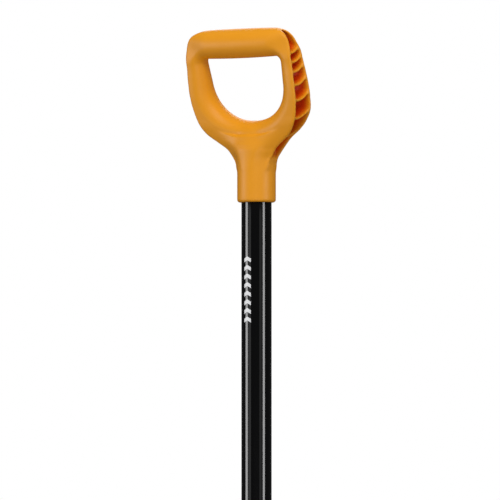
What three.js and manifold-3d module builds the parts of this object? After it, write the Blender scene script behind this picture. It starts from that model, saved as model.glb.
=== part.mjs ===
// A digging fork: a moulded D-grip on a round steel tube, welded to a four-tined steel head.
// Millimetres, +Z up. The fork stands upright on its tine tips and its front faces -Y.
import * as THREE from "three";
import { mergeVertices } from "three/addons/utils/BufferGeometryUtils.js";
import Module from "manifold-3d";

const wasm = await Module();
wasm.setup();

// ---------------------------------------------------------------- driving dimensions
const FIT_GAP = 0.3; // air left between pieces that touch on the real tool
const TOTAL_HEIGHT = 1170;

const GRIP = {
  height: 187, // along its own bent centre line, from the collar's mouth to the top of the bar
  lean: THREE.MathUtils.degToRad(16.3), // how far the D tips forward of the shaft
  bendFrom: 56, // the centre line is straight up to here
  bendTo: 84, // and straight again, leaning, from here
  collarRadius: 20.5,
  bodyDepth: 31, // front face to back face of the D
  wall: 2.8,
  windowFloor: 87.4,
  windowHalf: 47.8,
  windowWide: 130, // where the rounded floor of the window meets its straight sides
  windowSquareness: 2.22, // 2 is an ellipse
  barCentre: 171.2,
  barRadius: 15.65,
  barEndRadius: 14.2,
};
const TUBE = { radius: 16, wall: 1.6, intoGrip: 50, bottom: 380 };
const SCREW = { up: 22, headRadius: 4.6, headHeight: 2.6, shankRadius: 2, length: 15 };
const HEAD = {
  yokeHeight: 312, // centre of the crossbar above the tine tips
  tilt: THREE.MathUtils.degToRad(7), // the crossbar's plane, tipped forward
  pitch: 58, // tine to tine
  barWide: 15,
  barDeep: 14,
  cornerRadius: 16,
  tineCurve: THREE.MathUtils.degToRad(8), // how much further forward the tips point
  tineTop: 13.5,
  tineWaist: 9.5,
  pointLength: 62,
};
const SOCKET_SHAPE = [[428, 18.6, 18.6], [402, 18.6, 18.6], [384, 18.6, 18.4], [370, 18.2, 17.2],
  [358, 18, 15], [346, 19, 12.8], [336, 21.4, 11], [328, 24, 10]]; // height, half width, half depth
const SOCKET = { top: 428, bendHeight: 62, footHalf: 27, footDeep: 10.4 };
const BRACE = { foot: 44, height: 30, thick: 5, clearOfWeld: 31 };
const TREAD = { inner: 46, outer: 93, deep: 26, thick: 3.5 };

const COLLAR_Z = TOTAL_HEIGHT - 183.1; // the collar's mouth

// ---------------------------------------------------------------- finishes
const finish = (color, roughness, metalness) =>
  new THREE.MeshStandardMaterial({ color, roughness, metalness });
const ORANGE = finish(0xe89c32, 0.45, 0);
const BLACK = finish(0x141414, 0.3, 0.2);
const BLACK_HEAD = finish(0x171717, 0.5, 0.3);
const STEEL = finish(0x9a9a9c, 0.35, 1);

const span = (count) => Array.from({ length: count + 1 }, (_, i) => i / count);
const mix = THREE.MathUtils.lerp;
const smooth = THREE.MathUtils.smoothstep;

// ---------------------------------------------------------------- solids
function solidOf(geometry) {
  const bare = geometry.index ? geometry.toNonIndexed() : geometry.clone();
  bare.deleteAttribute("normal");
  bare.deleteAttribute("uv");
  const merged = mergeVertices(bare, 1e-4);
  return new wasm.Manifold(
    new wasm.Mesh({
      numProp: 3,
      vertProperties: merged.attributes.position.array,
      triVerts: new Uint32Array(merged.index.array),
    }),
  );
}

// The main body of a solid, without the slivers that many cuts can leave.
function withoutCrumbs(solid) {
  return solid.decompose().reduce((best, body) => (body.volume() > best.volume() ? body : best));
}

// Corners closer together than the tolerance become one, and the faces that collapse with them go.
function geometryOf(solid, tolerance = 0.004) {
  const mesh = solid.getMesh();
  const raw = new THREE.BufferGeometry();
  raw.setAttribute("position", new THREE.BufferAttribute(mesh.vertProperties, 3));
  raw.setIndex(new THREE.BufferAttribute(mesh.triVerts, 1));
  const geometry = mergeVertices(raw, tolerance);
  const corners = geometry.index.array;
  const kept = [];
  for (let i = 0; i < corners.length; i += 3) {
    const [a, b, c] = corners.slice(i, i + 3);
    if (a !== b && b !== c && c !== a) kept.push(a, b, c);
  }
  geometry.setIndex(kept);
  geometry.computeVertexNormals();
  return geometry;
}

// A closed surface through rings of points. A loft whose ends don't meet gets a fan on each end.
function loft(rings, closed) {
  const count = rings[0].length;
  const points = rings.flat();
  const faces = [];
  const last = closed ? rings.length : rings.length - 1;
  for (let i = 0; i < last; i++) {
    const here = i * count;
    const next = ((i + 1) % rings.length) * count;
    for (let j = 0; j < count; j++) {
      const k = (j + 1) % count;
      faces.push(here + j, next + j, next + k, here + j, next + k, here + k);
    }
  }
  if (!closed) {
    for (const [ring, turned] of [[0, true], [rings.length - 1, false]]) {
      const middle = new THREE.Vector3();
      rings[ring].forEach((p) => middle.add(p));
      points.push(middle.divideScalar(count));
      for (let j = 0; j < count; j++) {
        const a = ring * count + j;
        const b = ring * count + ((j + 1) % count);
        faces.push(...(turned ? [points.length - 1, a, b] : [points.length - 1, b, a]));
      }
    }
  }
  const geometry = new THREE.BufferGeometry().setFromPoints(points);
  geometry.setIndex(faces);
  return geometry;
}

// The same, turned the right way out if its rings ran the other way.
function loftSolid(rings, closed) {
  const solid = solidOf(loft(rings, closed));
  return solid.volume() > 0 ? solid : solidOf(loft([...rings].reverse(), closed));
}

// ---------------------------------------------------------------- D-grip
// The D is drawn flat: x across, s up its centre line, m from its front (-) to its back (+).
// onGrip then carries a point of the flat D to its place on the leaning grip.
function onGrip(x, s, m) {
  const radius = (GRIP.bendTo - GRIP.bendFrom) / GRIP.lean;
  const turned = THREE.MathUtils.clamp((s - GRIP.bendFrom) / radius, 0, GRIP.lean);
  const straight = Math.max(0, s - GRIP.bendTo);
  const along = new THREE.Vector2(-Math.sin(turned), Math.cos(turned));
  const centreY = -radius * (1 - Math.cos(turned)) + along.x * straight;
  const centreZ = Math.min(s, GRIP.bendFrom) + radius * Math.sin(turned) + along.y * straight;
  return new THREE.Vector3(x, centreY + m * along.y, centreZ - m * along.x);
}

// Right half of an outline, as a smooth curve through the points that shape it.
const halfOutline = (...points) =>
  new THREE.SplineCurve(points.map(([x, s]) => new THREE.Vector2(x, s))).getPoints(160);

const WINDOW = (() => {
  const power = 2 / GRIP.windowSquareness;
  const floor = span(24).map((t) => new THREE.Vector2(
    GRIP.windowHalf * Math.sin((t * Math.PI) / 2) ** power,
    GRIP.windowWide - (GRIP.windowWide - GRIP.windowFloor) * Math.cos((t * Math.PI) / 2) ** power,
  ));
  const corner = new THREE.Path();
  const [top, radius] = [GRIP.barCentre - GRIP.barRadius, 5];
  const [topHalf, barTaper] = [48.8, 0.8]; // the opening's half width at its top, and the bar's taper
  corner.absarc(topHalf - radius, top + barTaper - radius, radius, 0, Math.PI / 2, false);
  corner.quadraticCurveTo(20, top, 0, top);
  return [...floor, ...corner.getPoints(16)];
})();
const OUTLINE_TOP = [[67.3, 137], [66.4, 150], [64.8, 164], [60, 178.3], [49, 185], [24, 186.4],
  [0, GRIP.height]];
const FRONT_OUTLINE = halfOutline([0, 31], [13.6, 35], [16.8, 41], [20.2, 46.5], [27.4, 56],
  [40.8, 66], [53, 76], [61.6, 90], [65.8, 106], [67.3, 121], ...OUTLINE_TOP);
const BACK_OUTLINE = halfOutline([0, 31], [13.4, 35], [15.4, 41], [18.6, 48], [24, 56],
  [34.2, 66], [48.6, 75], [58.6, 84], [64.8, 94.5], [66.7, 107], [67.4, 121], ...OUTLINE_TOP);
const OUTLINE_EYE = 122; // every outline is seen whole from this height on the centre line

// How far the skin stands from the D's middle plane, less a wall: rounded over above the bar's centre.
function halfDepth(x, s, wall = 0) {
  const leg = mix(GRIP.bodyDepth / 2, GRIP.barEndRadius, smooth(s, 118, 165));
  const bar = mix(GRIP.barRadius, GRIP.barEndRadius, Math.min(1, (x / 46) ** 2));
  const over = Math.max(0, s - GRIP.barCentre) / (GRIP.height + 0.2 - wall - GRIP.barCentre);
  return (mix(leg, bar, smooth(s, 138, 156)) - wall) * Math.sqrt(Math.max(0.001, 1 - over ** 2));
}

// Where the ray that leaves the eye at an angle from straight down meets half an outline, and how
// squarely it meets it.
function meet(outline, angle) {
  const ray = new THREE.Vector2(Math.sin(angle), -Math.cos(angle));
  for (let i = 0; i + 1 < outline.length; i++) {
    const a = outline[i].clone().sub({ x: 0, y: OUTLINE_EYE });
    const b = outline[i + 1].clone().sub({ x: 0, y: OUTLINE_EYE });
    const [sideA, sideB] = [a.cross(ray), b.cross(ray)];
    const far = a.clone().lerp(b, sideA / (sideA - sideB)).dot(ray);
    if (sideA !== sideB && sideA * sideB <= 0 && far > 0) {
      return { far, square: Math.abs(b.sub(a).normalize().cross(ray)) };
    }
  }
  return { far: Math.abs(outline[outline.length - 1].y - OUTLINE_EYE), square: 1 };
}

// One slice through the D's rim, along a ray from the eye: half-round towards the window, flat on
// its front and back, cut square outside. A wall and an overshoot make the hollow inside it instead.
function rimRing(angle, wall = 0, overshoot = 0) {
  const turned = Math.abs(angle);
  const inner = meet(WINDOW, turned);
  const out = (far) => far * Math.sin(turned);
  const up = (far) => OUTLINE_EYE - far * Math.cos(turned);
  const place = (far, m) => onGrip((angle < 0 ? -1 : 1) * out(far), up(far), m);
  const depthAt = (far) => halfDepth(out(far), up(far), wall);
  const start = inner.far + wall / inner.square;
  const edge = wall ? 0.4 : 1.2; // rounding of the outer corners
  const front = meet(FRONT_OUTLINE, turned).far + overshoot;
  const back = meet(BACK_OUTLINE, turned).far + overshoot;
  const half = depthAt(start);
  const room = Math.min(half / inner.square, Math.min(front, back) - start - edge - 0.3);
  const inside = span(10).map((t) => {
    const a = Math.PI * (0.5 - t);
    return place(start + room * (1 - Math.cos(a)), half * Math.sin(a));
  });
  const flank = (outer, sign) => {
    const flats = [0.4, 0.75].map((t) => mix(start + room, outer - edge, t));
    const points = [...flats, outer - edge].map((far) => place(far, sign * depthAt(far)));
    const corner = Math.max(depthAt(outer) - edge, 0.02);
    const shoulder = corner + 0.7 * edge * (corner > 1 ? 1 : 0.05);
    return [...points, place(outer - 0.3 * edge, sign * shoulder), place(outer, sign * corner)];
  };
  return [...inside, ...flank(front, -1), ...flank(back, 1).reverse()];
}

// The D's outer skin, all the way round its window.
function gripRim() {
  const stations = 60;
  return loftSolid(span(stations).slice(0, stations).map((t) => rimRing(Math.PI * (2 * t - 1))), true);
}

// The collar that takes the tube, bending forward and thinning as it runs up into the D.
function gripCollar() {
  const profile = [[19.2, 0], [20.1, 0.5], [GRIP.collarRadius, 1.6], [GRIP.collarRadius, 24],
    [GRIP.collarRadius, 46], [20.2, 54], [19.2, 62], [17.8, 70], [16.3, 77], [14.4, 82], [9, 85]];
  const rings = profile.map(([r, s]) =>
    span(36).slice(0, 36).map((t) => {
      const a = 2 * Math.PI * t;
      return onGrip(r * Math.cos(a), s, r * Math.sin(a));
    }));
  return loftSolid(rings, false);
}

// Ribs across the hollow side of a leg: curved webs that sag in the middle and rise towards the back.
const RIBS = [162.5, 152.5, 142.2, 128, 111.4, 91.8, 72.2];
function rib(at, side) {
  const [halfDeep, sag, rise, thick] = [18, 4.4, 0.11, 1.8];
  const outer = across(BACK_OUTLINE, at - sag) - 1.5;
  const lip = (m) => at + rise * (m + 15) - sag * (1 - (m / 15) ** 2);
  const rings = [7.5, outer].map((x) => {
    const steps = span(8).map((t) => mix(-halfDeep, halfDeep, t));
    return [
      ...steps.map((m) => onGrip(side * x, lip(m) - thick / 2, m)),
      ...steps.reverse().map((m) => onGrip(side * x, lip(m) + thick / 2, m)),
    ];
  });
  return loftSolid(rings, false);
}

// Half the width of an outline at a height.
function across(outline, s) {
  const next = outline.findIndex((p, i) => i > 0 && p.y >= s);
  const [a, b] = [outline[next - 1], outline[next]];
  return mix(a.x, b.x, (s - a.y) / (b.y - a.y));
}

// The upper part of a leg's hollow: open to the side, arched over at the bar.
function legHollow(side) {
  const [open, archTop] = [80, GRIP.height - GRIP.wall - 0.2];
  const arch = span(4).slice(1).map((t) => mix(GRIP.barCentre, archTop, Math.sin((t * Math.PI) / 2)));
  const levels = [101, 110, 122, 134, 146, 156, 163, GRIP.barCentre, ...arch];
  const rings = levels.map((s) => {
    const web = across(WINDOW, Math.min(s, 149)) + GRIP.wall + 0.2;
    const half = halfDepth(web, s, GRIP.wall);
    const inside = span(10).map((t) => Math.PI * (0.5 - t));
    return [
      ...inside.map((a) => onGrip(side * (web + half * (1 - Math.cos(a))), s, half * Math.sin(a))),
      onGrip(side * open, s, -half),
      onGrip(side * open, s, half),
    ];
  });
  return loftSolid(rings, false);
}

// The hollow between the front and back webs of one side, less its ribs and the collar's column.
function gripHollow(side) {
  const angles = span(14).map((t) => THREE.MathUtils.degToRad(mix(17, 76, t)));
  const yokeHollow = loftSolid(angles.map((a) => rimRing(side * a, GRIP.wall, 14)), false);
  const column = [[0, -1], [40, -1], [40, 38], [27, 45], [20.5, 53], [20.5, 62], [17, 78], [0, 84]];
  let hollow = yokeHollow.add(legHollow(side)).subtract(solidOf(turned(column)));
  RIBS.forEach((at) => {
    hollow = hollow.subtract(rib(at, side));
  });
  return hollow;
}

// The round core that hollows the bar from one end, stopping short of the middle.
function barCore(side) {
  const rings = [[9, 7], [10.5, 10], [11, 60]].map(([r, x]) =>
    span(20).slice(0, 20).map((t) => {
      const a = 2 * Math.PI * t;
      return onGrip(side * x, GRIP.barCentre + r * Math.cos(a), r * Math.sin(a));
    }));
  return loftSolid(rings, false);
}

function turned(profile, segments = 40) {
  const lathe = new THREE.LatheGeometry(profile.map(([r, z]) => new THREE.Vector2(r, z)), segments);
  return lathe.rotateX(Math.PI / 2);
}

function screwHole(radius, from, to) {
  const hole = new THREE.CylinderGeometry(radius, radius, to - from, 20);
  return solidOf(hole.translate(0, (from + to) / 2, SCREW.up));
}

function gripGeometry() {
  const grooveOut = TUBE.radius + FIT_GAP;
  const grooveIn = TUBE.radius - TUBE.wall - FIT_GAP;
  const groove = solidOf(turned([[grooveIn, -5], [grooveOut, -5], [grooveOut, TUBE.intoGrip + FIT_GAP],
    [grooveIn, TUBE.intoGrip + FIT_GAP], [grooveIn, -5]]));
  const spigotCore = solidOf(turned([[0, -5], [grooveIn - 3, -5], [grooveIn - 3, 44], [0, 47]]));
  const headSeat = GRIP.collarRadius - SCREW.headHeight;
  let body = gripRim().add(gripCollar());
  for (const side of [-1, 1]) {
    body = body.subtract(gripHollow(side)).subtract(barCore(side));
  }
  body = body.subtract(groove).subtract(spigotCore);
  body = body.subtract(screwHole(SCREW.headRadius + 0.4, headSeat - FIT_GAP, 30));
  body = body.subtract(screwHole(SCREW.shankRadius + FIT_GAP, 6, 30));
  return geometryOf(withoutCrumbs(body));
}

// Self-tapping screw with a domed head and a cross recess, its tip towards the front.
function screwGeometry() {
  const { headRadius, headHeight, shankRadius, length } = SCREW;
  const profile = [[0, -length], [0.6, -length + 0.4], [shankRadius, -length + 4], [shankRadius, 0],
    [headRadius, 0], [headRadius, headHeight * 0.45], [headRadius * 0.75, headHeight * 0.85],
    [headRadius * 0.35, headHeight], [0, headHeight]];
  let screw = solidOf(new THREE.LatheGeometry(profile.map(([r, y]) => new THREE.Vector2(r, y)), 16));
  for (const [wide, deep] of [[4.4, 1.1], [1.1, 4.4]]) {
    screw = screw.subtract(solidOf(new THREE.BoxGeometry(wide, 3, deep).translate(0, headHeight, 0)));
  }
  return geometryOf(screw);
}

// ---------------------------------------------------------------- shaft
function tubeGeometry() {
  const [out, inn] = [TUBE.radius, TUBE.radius - TUBE.wall];
  const top = COLLAR_Z + TUBE.intoGrip;
  const tube = solidOf(turned([[inn, TUBE.bottom], [out, TUBE.bottom], [out, 600], [out, 800], [out, top],
    [inn, top], [inn, 800], [inn, 600], [inn, TUBE.bottom]], 48));
  const hole = screwHole(SCREW.shankRadius + FIT_GAP, 10, 30);
  return geometryOf(tube.subtract(hole.translate(0, 0, COLLAR_Z)));
}

// ---------------------------------------------------------------- head
// The head has a frame of its own, which leans forward: its origin is on the crossbar's centre line.
// The socket's centre line is upright at the tube and turns forward to meet the crossbar square on.
const HEAD_FORWARD = SOCKET.bendHeight * Math.tan(HEAD.tilt / 2);
const HEAD_ORIGIN = new THREE.Vector3(0, -HEAD_FORWARD, HEAD.yokeHeight);

// A rounded rectangle of half sizes a and b whose corners are cut at an exponent.
function roundedRing(count, a, b, exponent, place) {
  return span(count).slice(0, count).map((t) => {
    const [c, s] = [Math.cos(2 * Math.PI * t), Math.sin(2 * Math.PI * t)];
    const power = 2 / exponent;
    return place(Math.sign(c) * a * Math.abs(c) ** power, Math.sign(s) * b * Math.abs(s) ** power);
  });
}

// Crossbar: a forged bar, deeper in the middle, whose ends turn down into the outer tines.
function yokeGeometry() {
  const half = 1.5 * HEAD.pitch;
  const { cornerRadius: corner, barWide, barDeep } = HEAD;
  const flat = half - corner;
  const path = [];
  for (const t of span(5)) path.push([mix(0, flat, t), 0, 0]);
  for (const t of span(6).slice(1)) {
    const a = (Math.PI / 2) * t;
    path.push([flat + corner * Math.sin(a), -corner * (1 - Math.cos(a)), a]);
  }
  path.push([half, -corner - 6, Math.PI / 2]);
  const mirrored = path.slice(1).reverse().map(([x, up, a]) => [-x, up, -a]);
  const rings = [...mirrored, ...path].map(([x, up, a]) => {
    const stout = 1 - smooth(Math.abs(x), 14, 62);
    const tineEnd = smooth(Math.abs(x), half - corner, half);
    const halfWide = mix(barWide, HEAD.tineTop, tineEnd) / 2;
    const halfDeep = mix(barDeep, HEAD.tineTop - 1, tineEnd) / 2 + 2 * stout;
    return roundedRing(16, halfWide, halfDeep, 5, (n, m) =>
      new THREE.Vector3(x + n * Math.sin(a), m, up + n * Math.cos(a)));
  });
  return geometryOf(loftSolid(rings, false));
}

const YOKE_END = -HEAD.cornerRadius - 6; // where the crossbar's turned-down ends stop
const TINE_LENGTH = HEAD.yokeHeight / Math.cos(HEAD.tilt + HEAD.tineCurve / 2);

// A tine from its butt end down to its point, curving forward as it goes.
function tineGeometry(top) {
  const curveRadius = TINE_LENGTH / HEAD.tineCurve;
  const stations = [0, 0.04, 0.16, 0.32, 0.48, 0.64, 0.76, 0.84, 0.9, 0.95, 0.985, 1];
  const pointFrom = 1 - HEAD.pointLength / TINE_LENGTH;
  const rings = stations.map((t) => {
    const down = mix(-top, TINE_LENGTH, t);
    const turn = down / curveRadius;
    const body = mix(HEAD.tineTop, HEAD.tineWaist, Math.min(1, t / pointFrom)) / 2;
    const point = Math.sqrt(Math.max(0, 1 - smooth(t, pointFrom, 1.004)));
    const forward = curveRadius * (1 - Math.cos(turn));
    const drop = curveRadius * Math.sin(turn);
    const [wide, deep] = [body * mix(0.2, 1, point), (body - 0.5) * mix(0.12, 1, point)];
    return roundedRing(16, wide, deep, 4.5, (x, m) =>
      new THREE.Vector3(x, m * Math.cos(turn) - forward, -drop - m * Math.sin(turn)));
  });
  return geometryOf(loftSolid(rings, false));
}

// A run of weld laid round a joint: a ring of the joint's own outline with a rounded face.
function weldRing(halfWide, halfDeep, exponent, size, count = 20) {
  const rings = span(4).map((t) => {
    const a = Math.PI * t;
    const out = FIT_GAP + size * Math.sin(a);
    return roundedRing(count, halfWide + out, halfDeep + out, exponent, (x, y) =>
      new THREE.Vector3(x, y, size * Math.cos(a)));
  });
  return geometryOf(loftSolid(rings, true));
}

// Where the socket's centre line is at a height, and how far it has turned forward.
function onSocket(z) {
  const bendTop = HEAD.yokeHeight + SOCKET.bendHeight;
  const radius = SOCKET.bendHeight / Math.sin(HEAD.tilt);
  const turn = z >= bendTop ? 0 : Math.asin((bendTop - z) / radius);
  return { turn, y: -radius * (1 - Math.cos(turn)) };
}

// The socket's outside, grown all round by an allowance.
function socketOutside(grow) {
  const foot = HEAD.yokeHeight + HEAD.barWide / 2 + FIT_GAP;
  const rings = [...SOCKET_SHAPE, [foot, SOCKET.footHalf, SOCKET.footDeep]].map(([z, a, b]) => {
    const { turn, y } = onSocket(z);
    const tip = z > foot ? turn : HEAD.tilt;
    const squareness = mix(2.8, 2, smooth(z, 330, 384));
    return roundedRing(32, a + grow, b + grow, squareness, (x, m) =>
      new THREE.Vector3(x, y + m * Math.cos(tip), z - m * Math.sin(tip)));
  });
  return loftSolid(rings, false);
}

// Socket: a sleeve over the tube that closes, bends forward and fans out to a foot on the crossbar.
function socketGeometry() {
  const [bore, floor] = [TUBE.radius + FIT_GAP, TUBE.bottom - FIT_GAP];
  const above = SOCKET.top + 5;
  const hollow = solidOf(turned([[0, floor], [bore, floor], [bore, above], [0, above]], 48));
  return geometryOf(socketOutside(0).subtract(hollow));
}

// Brace: a flat web in the corner between the socket and the crossbar, cut away for the weld.
function braceGeometry(side, toFork) {
  const { foot, height, thick, clearOfWeld } = BRACE;
  const outline = new THREE.Shape();
  outline.moveTo(clearOfWeld, 0);
  outline.lineTo(foot, 0);
  outline.quadraticCurveTo(clearOfWeld, height * 0.2, 19, height);
  outline.lineTo(0, height);
  outline.lineTo(0, 5);
  outline.lineTo(clearOfWeld - 1, 5);
  const web = new THREE.ExtrudeGeometry(outline, { depth: thick, bevelEnabled: false, curveSegments: 8 });
  web.translate(0, 0, -thick / 2).rotateX(Math.PI / 2);
  if (side < 0) web.rotateZ(Math.PI);
  const placed = solidOf(web.applyMatrix4(toFork)).subtract(socketOutside(FIT_GAP));
  return geometryOf(placed).applyMatrix4(toFork.clone().invert());
}

// Tread: the flat plate, with rounded corners, that the boot presses on.
function treadGeometry() {
  const { inner, outer, deep, thick } = TREAD;
  const outline = new THREE.Shape();
  const corner = 6;
  outline.moveTo(inner + corner, -deep / 2);
  outline.lineTo(outer - corner, -deep / 2);
  outline.absarc(outer - corner, -deep / 2 + corner, corner, -Math.PI / 2, 0, false);
  outline.lineTo(outer, deep / 2 - corner);
  outline.absarc(outer - corner, deep / 2 - corner, corner, 0, Math.PI / 2, false);
  outline.lineTo(inner + corner, deep / 2);
  outline.absarc(inner + corner, deep / 2 - corner, corner, Math.PI / 2, Math.PI, false);
  outline.lineTo(inner, -deep / 2 + corner);
  outline.absarc(inner + corner, -deep / 2 + corner, corner, Math.PI, 1.5 * Math.PI, false);
  const edge = 0.6;
  return new THREE.ExtrudeGeometry(outline, {
    depth: thick - 2 * edge,
    bevelThickness: edge,
    bevelSize: edge,
    bevelOffset: -edge,
    bevelSegments: 1,
    curveSegments: 4,
  }).translate(0, 0, edge);
}

// ---------------------------------------------------------------- assembly
const fork = new THREE.Group();

function piece(name, geometry, material, parent = fork) {
  const mesh = new THREE.Mesh(geometry, material);
  mesh.name = name;
  parent.add(mesh);
  return mesh;
}

piece("d_grip", gripGeometry(), ORANGE).position.z = COLLAR_Z;
const screw = piece("grip_screw", screwGeometry(), STEEL);
screw.position.set(0, GRIP.collarRadius - SCREW.headHeight, COLLAR_Z + SCREW.up);

piece("shaft_tube", tubeGeometry(), BLACK);
piece("socket", socketGeometry(), BLACK_HEAD);
const shaftWeld = piece("shaft_weld", weldRing(TUBE.radius, TUBE.radius, 2, 2, 40), BLACK_HEAD);
shaftWeld.position.z = SOCKET.top + FIT_GAP + 2;

const head = new THREE.Group();
head.position.copy(HEAD_ORIGIN);
head.rotation.x = -HEAD.tilt;
head.updateMatrix();
fork.add(head);

const barTop = HEAD.barWide / 2;
piece("crossbar", yokeGeometry(), BLACK_HEAD, head);
const footRing = weldRing(SOCKET.footHalf, SOCKET.footDeep, 2.8, 2, 32);
piece("socket_weld", footRing, BLACK_HEAD, head).position.z = barTop + FIT_GAP + 2;

for (const [side, word] of [[-1, "left"], [1, "right"]]) {
  const braceAt = new THREE.Matrix4().makeTranslation(0, 0, barTop + FIT_GAP);
  const web = braceGeometry(side, head.matrix.clone().multiply(braceAt));
  piece(`${word}_brace`, web, BLACK_HEAD, head).applyMatrix4(braceAt);
  const tread = piece(`${word}_tread`, treadGeometry(), BLACK_HEAD, head);
  tread.position.z = barTop + FIT_GAP;
  if (side < 0) tread.rotation.z = Math.PI;

  const [weldWide, weldSize] = [HEAD.tineTop / 2, 1.8];
  for (const [kind, x, top, weldZ] of [
    ["outer", 1.5 * HEAD.pitch, YOKE_END - FIT_GAP, YOKE_END],
    ["inner", 0.5 * HEAD.pitch, -barTop - FIT_GAP, -barTop - FIT_GAP - weldSize],
  ]) {
    piece(`${word}_${kind}_tine`, tineGeometry(top), BLACK_HEAD, head).position.x = side * x;
    const ring = weldRing(weldWide, weldWide - 0.5, 5, weldSize);
    piece(`${word}_${kind}_tine_weld`, ring, BLACK_HEAD, head).position.set(side * x, 0, weldZ);
  }
}

// The origin is under the middle of the fork, at the height of its tine tips.
const extent = new THREE.Box3().setFromObject(fork, true);
fork.position.set(0, -(extent.min.y + extent.max.y) / 2, -extent.min.z);

export default fork;
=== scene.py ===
"""Digging fork: a moulded D-grip on a coated steel shaft, with a welded four-tined head."""

from math import atan2, cos, pi, radians, sin, tan

import bmesh
import bpy
import numpy as np
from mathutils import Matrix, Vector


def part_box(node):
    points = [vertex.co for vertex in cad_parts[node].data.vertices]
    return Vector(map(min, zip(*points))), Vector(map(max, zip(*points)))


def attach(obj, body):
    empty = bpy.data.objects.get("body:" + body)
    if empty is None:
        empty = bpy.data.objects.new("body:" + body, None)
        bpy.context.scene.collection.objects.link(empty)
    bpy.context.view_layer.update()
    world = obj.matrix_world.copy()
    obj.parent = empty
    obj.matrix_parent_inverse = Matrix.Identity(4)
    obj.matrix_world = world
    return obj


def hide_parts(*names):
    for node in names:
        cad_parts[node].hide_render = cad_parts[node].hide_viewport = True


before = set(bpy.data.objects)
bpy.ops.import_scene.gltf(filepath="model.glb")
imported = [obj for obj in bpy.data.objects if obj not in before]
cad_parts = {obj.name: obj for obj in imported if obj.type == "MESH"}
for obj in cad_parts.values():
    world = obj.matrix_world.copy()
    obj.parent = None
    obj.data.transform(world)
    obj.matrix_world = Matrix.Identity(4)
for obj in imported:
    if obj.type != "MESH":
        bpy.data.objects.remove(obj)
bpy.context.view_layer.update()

import openvdb
from mathutils import Matrix, Vector

bl_info = {
    "name": "Digging fork",
    "version": (1, 0, 0),
    "blender": (4, 5, 0),
    "location": "3D View > Sidebar > Fork",
    "description": "Builds a garden digging fork piece by piece round its CAD frame",
    "category": "Add Mesh",
}

MM = 0.001
TUBE_LOW, TUBE_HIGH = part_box("shaft_tube")
AXIS_Y = (TUBE_LOW.y + TUBE_HIGH.y) / 2
TUBE_RADIUS = (TUBE_HIGH.x - TUBE_LOW.x) / 2
COLLAR_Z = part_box("d_grip")[0].z
SCREW_LOW, SCREW_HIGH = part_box("grip_screw")
HEAD_TILT = radians(7)  # the crossbar's plane leans this far forward
YOKE_HEIGHT = 0.312  # the crossbar's centre line above the tine points
SOCKET_BEND = 0.062  # height over which the socket turns forward


# ------------------------------------------------------------------ settings
class ForkSizes(bpy.types.PropertyGroup):
    """Sizes that can change without touching the frame."""

    grip_voxel: bpy.props.FloatProperty(
        name="Grip mesh size", description="Edge length of the grip's fine mesh",
        default=1.02 * MM, unit="LENGTH")
    tine_bevel: bpy.props.FloatProperty(
        name="Tine corner", description="Rounding of the square tines' corners",
        default=2.6 * MM, unit="LENGTH")
    tread_bevel: bpy.props.FloatProperty(
        name="Tread edge", description="Rounding of the treads' edges",
        default=1.1 * MM, unit="LENGTH")


class ForkFinishes(bpy.types.PropertyGroup):
    """Colours, as linear values."""

    grip: bpy.props.FloatVectorProperty(
        name="Grip", description="Moulded plastic of the grip", subtype="COLOR", size=3,
        default=(0.88, 0.335, 0.004), min=0, max=1)
    shaft: bpy.props.FloatVectorProperty(
        name="Shaft", description="Gloss coating of the tube", subtype="COLOR", size=3,
        default=(0.0024, 0.0024, 0.0027), min=0, max=1)
    head: bpy.props.FloatVectorProperty(
        name="Head", description="Powder coating of the head", subtype="COLOR", size=3,
        default=(0.010, 0.010, 0.011), min=0, max=1)
    mark: bpy.props.FloatVectorProperty(
        name="Mark", description="Printed mark on the shaft", subtype="COLOR", size=3,
        default=(0.86, 0.87, 0.88), min=0, max=1)


# ------------------------------------------------------------------ shader expressions
class Wire:
    """A shader socket that can be used in arithmetic."""

    def __init__(self, graph, socket):
        self.graph, self.socket = graph, socket

    def _math(self, operation, *values):
        return self.graph.node("ShaderNodeMath", {"operation": operation}, *values)

    def __add__(self, other):
        return self._math("ADD", self, other)

    def __sub__(self, other):
        return self._math("SUBTRACT", self, other)

    def __mul__(self, other):
        return self._math("MULTIPLY", self, other)

    def __truediv__(self, other):
        return self._math("DIVIDE", self, other)

    def __lt__(self, other):
        return self._math("LESS_THAN", self, other)

    def __gt__(self, other):
        return self._math("GREATER_THAN", self, other)

    def __abs__(self):
        return self._math("ABSOLUTE", self)

    __radd__ = __add__


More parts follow.
